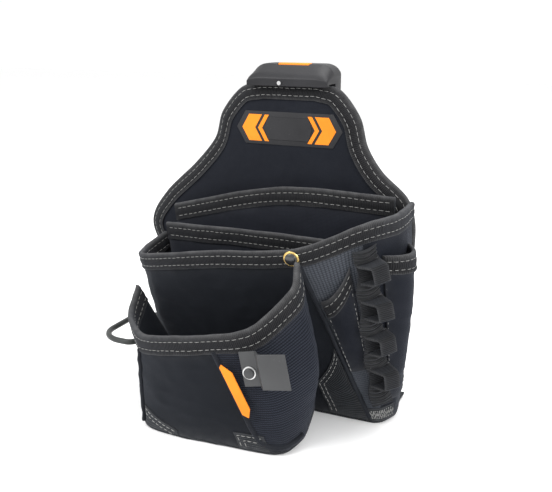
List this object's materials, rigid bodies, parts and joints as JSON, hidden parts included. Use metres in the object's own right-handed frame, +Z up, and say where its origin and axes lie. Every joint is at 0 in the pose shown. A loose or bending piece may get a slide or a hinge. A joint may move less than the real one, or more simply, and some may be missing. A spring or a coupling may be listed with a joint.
{
  "type": "electrician tool pouch",
  "caption": "Standing electrician's tool pouch with padded back, main bag, scooped front pocket, tool loops, tape clip, hammer loop and quick-release belt hub.",
  "frame": {"origin": "on the floor under the main base, on the centre line of the belt hub and in line with the front face of the back panel", "axes": "+Z up, -Y towards the front pocket, +X towards the pen pocket"},
  "size_m": [0.2985, 0.2088, 0.3026],
  "materials": {
    "twill_fabric": "twill woven polyester, near black",
    "ballistic_fabric": "coarse ballistic weave, near black",
    "binding_webbing": "ribbed binding tape with two rows of grey stitching",
    "loop_webbing": "ribbed webbing",
    "piping": "corded seam",
    "badge": "moulded rubber patch",
    "orange_label": "moulded rubber tab",
    "hub_plastic": "satin moulded nylon",
    "orange_plastic": "satin",
    "clip_steel": "grey coated steel",
    "bright_steel": "satin",
    "rivet_black": "black cap",
    "rivet_brass": "polished",
    "coated_rod": "plastic coated steel rod"
  },
  "bodies": {
    "pouch": {"main_left_gusset": "twill_fabric", "main_front_panel": "twill_fabric", "main_right_gusset": "twill_fabric", "main_side_panel": "twill_fabric", "main_rim_binding": "binding_webbing", "main_base": "ballistic_fabric", "front_pocket_left_gusset": "twill_fabric", "front_pocket_panel": "twill_fabric", "front_pocket_right_gusset": "ballistic_fabric", "front_pocket_rim_binding": "binding_webbing", "front_pocket_base": "ballistic_fabric", "main_gusset_piping": "piping", "front_pocket_left_piping": "piping", "front_pocket_seam_piping": "piping", "main_corner_patch": "ballistic_fabric", "main_corner_tape": "binding_webbing", "front_pocket_left_patch": "ballistic_fabric", "front_pocket_right_patch": "ballistic_fabric", "rear_pocket_panel": "twill_fabric", "rear_pocket_rim_binding": "binding_webbing", "divider_pocket_panel": "twill_fabric", "divider_pocket_rim_binding": "binding_webbing", "slant_pocket_panel": "twill_fabric", "slant_pocket_binding": "binding_webbing", "pen_pocket_panel": "twill_fabric", "pen_pocket_binding": "binding_webbing", "tool_loop_webbing": "loop_webbing", "tool_loops": "loop_webbing", "back_panel": "twill_fabric", "back_panel_binding": "binding_webbing", "badge_patch": "badge", "hub_receiver": "hub_plastic", "button_spring": "bright_steel", "receiver_rivets": "bright_steel", "hood_rivet": "bright_steel", "tape_clip": "clip_steel", "clip_washer": "clip_steel", "clip_rivet": "clip_steel", "rim_rivet_ring": "rivet_brass", "rim_rivet": "rivet_black", "label_tab": "orange_label", "hammer_loop_sleeve": "loop_webbing"},
    "belt_hub": {"belt_hub": "hub_plastic", "gate_pin": "bright_steel"},
    "belt_gate": {"belt_gate": "hub_plastic"},
    "release_button": {"release_button": "orange_plastic"},
    "hammer_loop": {"hammer_loop": "coated_rod"}
  },
  "joints": [
    {"name": "hub_slide", "type": "slide", "parent": "pouch", "child": "belt_hub", "axis": [0, 0, -1], "range_m": [0, 0.1]},
    {"name": "gate_hinge", "type": "hinge", "parent": "belt_hub", "child": "belt_gate", "pos_m": [0, 0.0489, 0.189], "axis": [1, 0, 0], "range_deg": [0, 80]},
    {"name": "release_press", "type": "slide", "parent": "pouch", "child": "release_button", "axis": [0, 0, -1], "range_m": [0, 0.004], "stiffness_N_per_m": 400, "springref_m": -0.002, "deforming": ["button_spring"]},
    {"name": "hammer_hinge", "type": "hinge", "parent": "pouch", "child": "hammer_loop", "pos_m": [-0.12221, -0.036, 0.047], "axis": [0, 1, 0], "range_deg": [-45, 50]}
  ]
}
